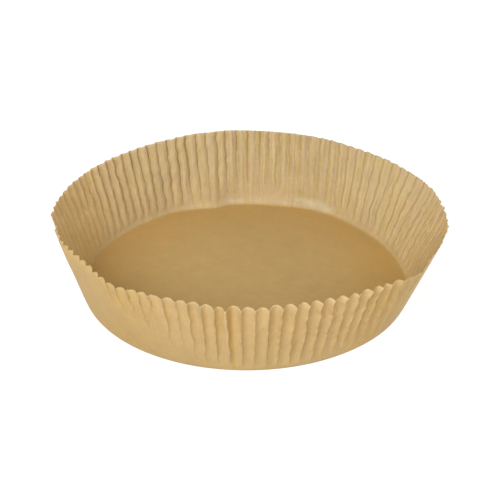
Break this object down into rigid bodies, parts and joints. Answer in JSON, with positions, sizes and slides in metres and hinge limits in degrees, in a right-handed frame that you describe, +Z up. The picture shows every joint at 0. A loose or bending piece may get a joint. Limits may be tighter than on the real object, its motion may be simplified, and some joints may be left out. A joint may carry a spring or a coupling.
{
  "type": "paper baking liner",
  "caption": "Round shallow paper liner that lines a fryer basket or tin: flat floor, pressed corner and a flared wall of upright flutes, open at the top.",
  "frame": {"origin": "middle of the floor's underside, on the surface the liner rests on", "axes": "+Z up, out of the open top; +X is the side where the wall leans out most; -Y faces the viewer of the front"},
  "size_m": [0.2147, 0.2097, 0.0468],
  "materials": {
    "kraft_paper": "unbleached greaseproof kraft paper, matt with a faint waxy sheen"
  },
  "bodies": {
    "root": {"liner": "kraft_paper"}
  },
  "joints": []
}
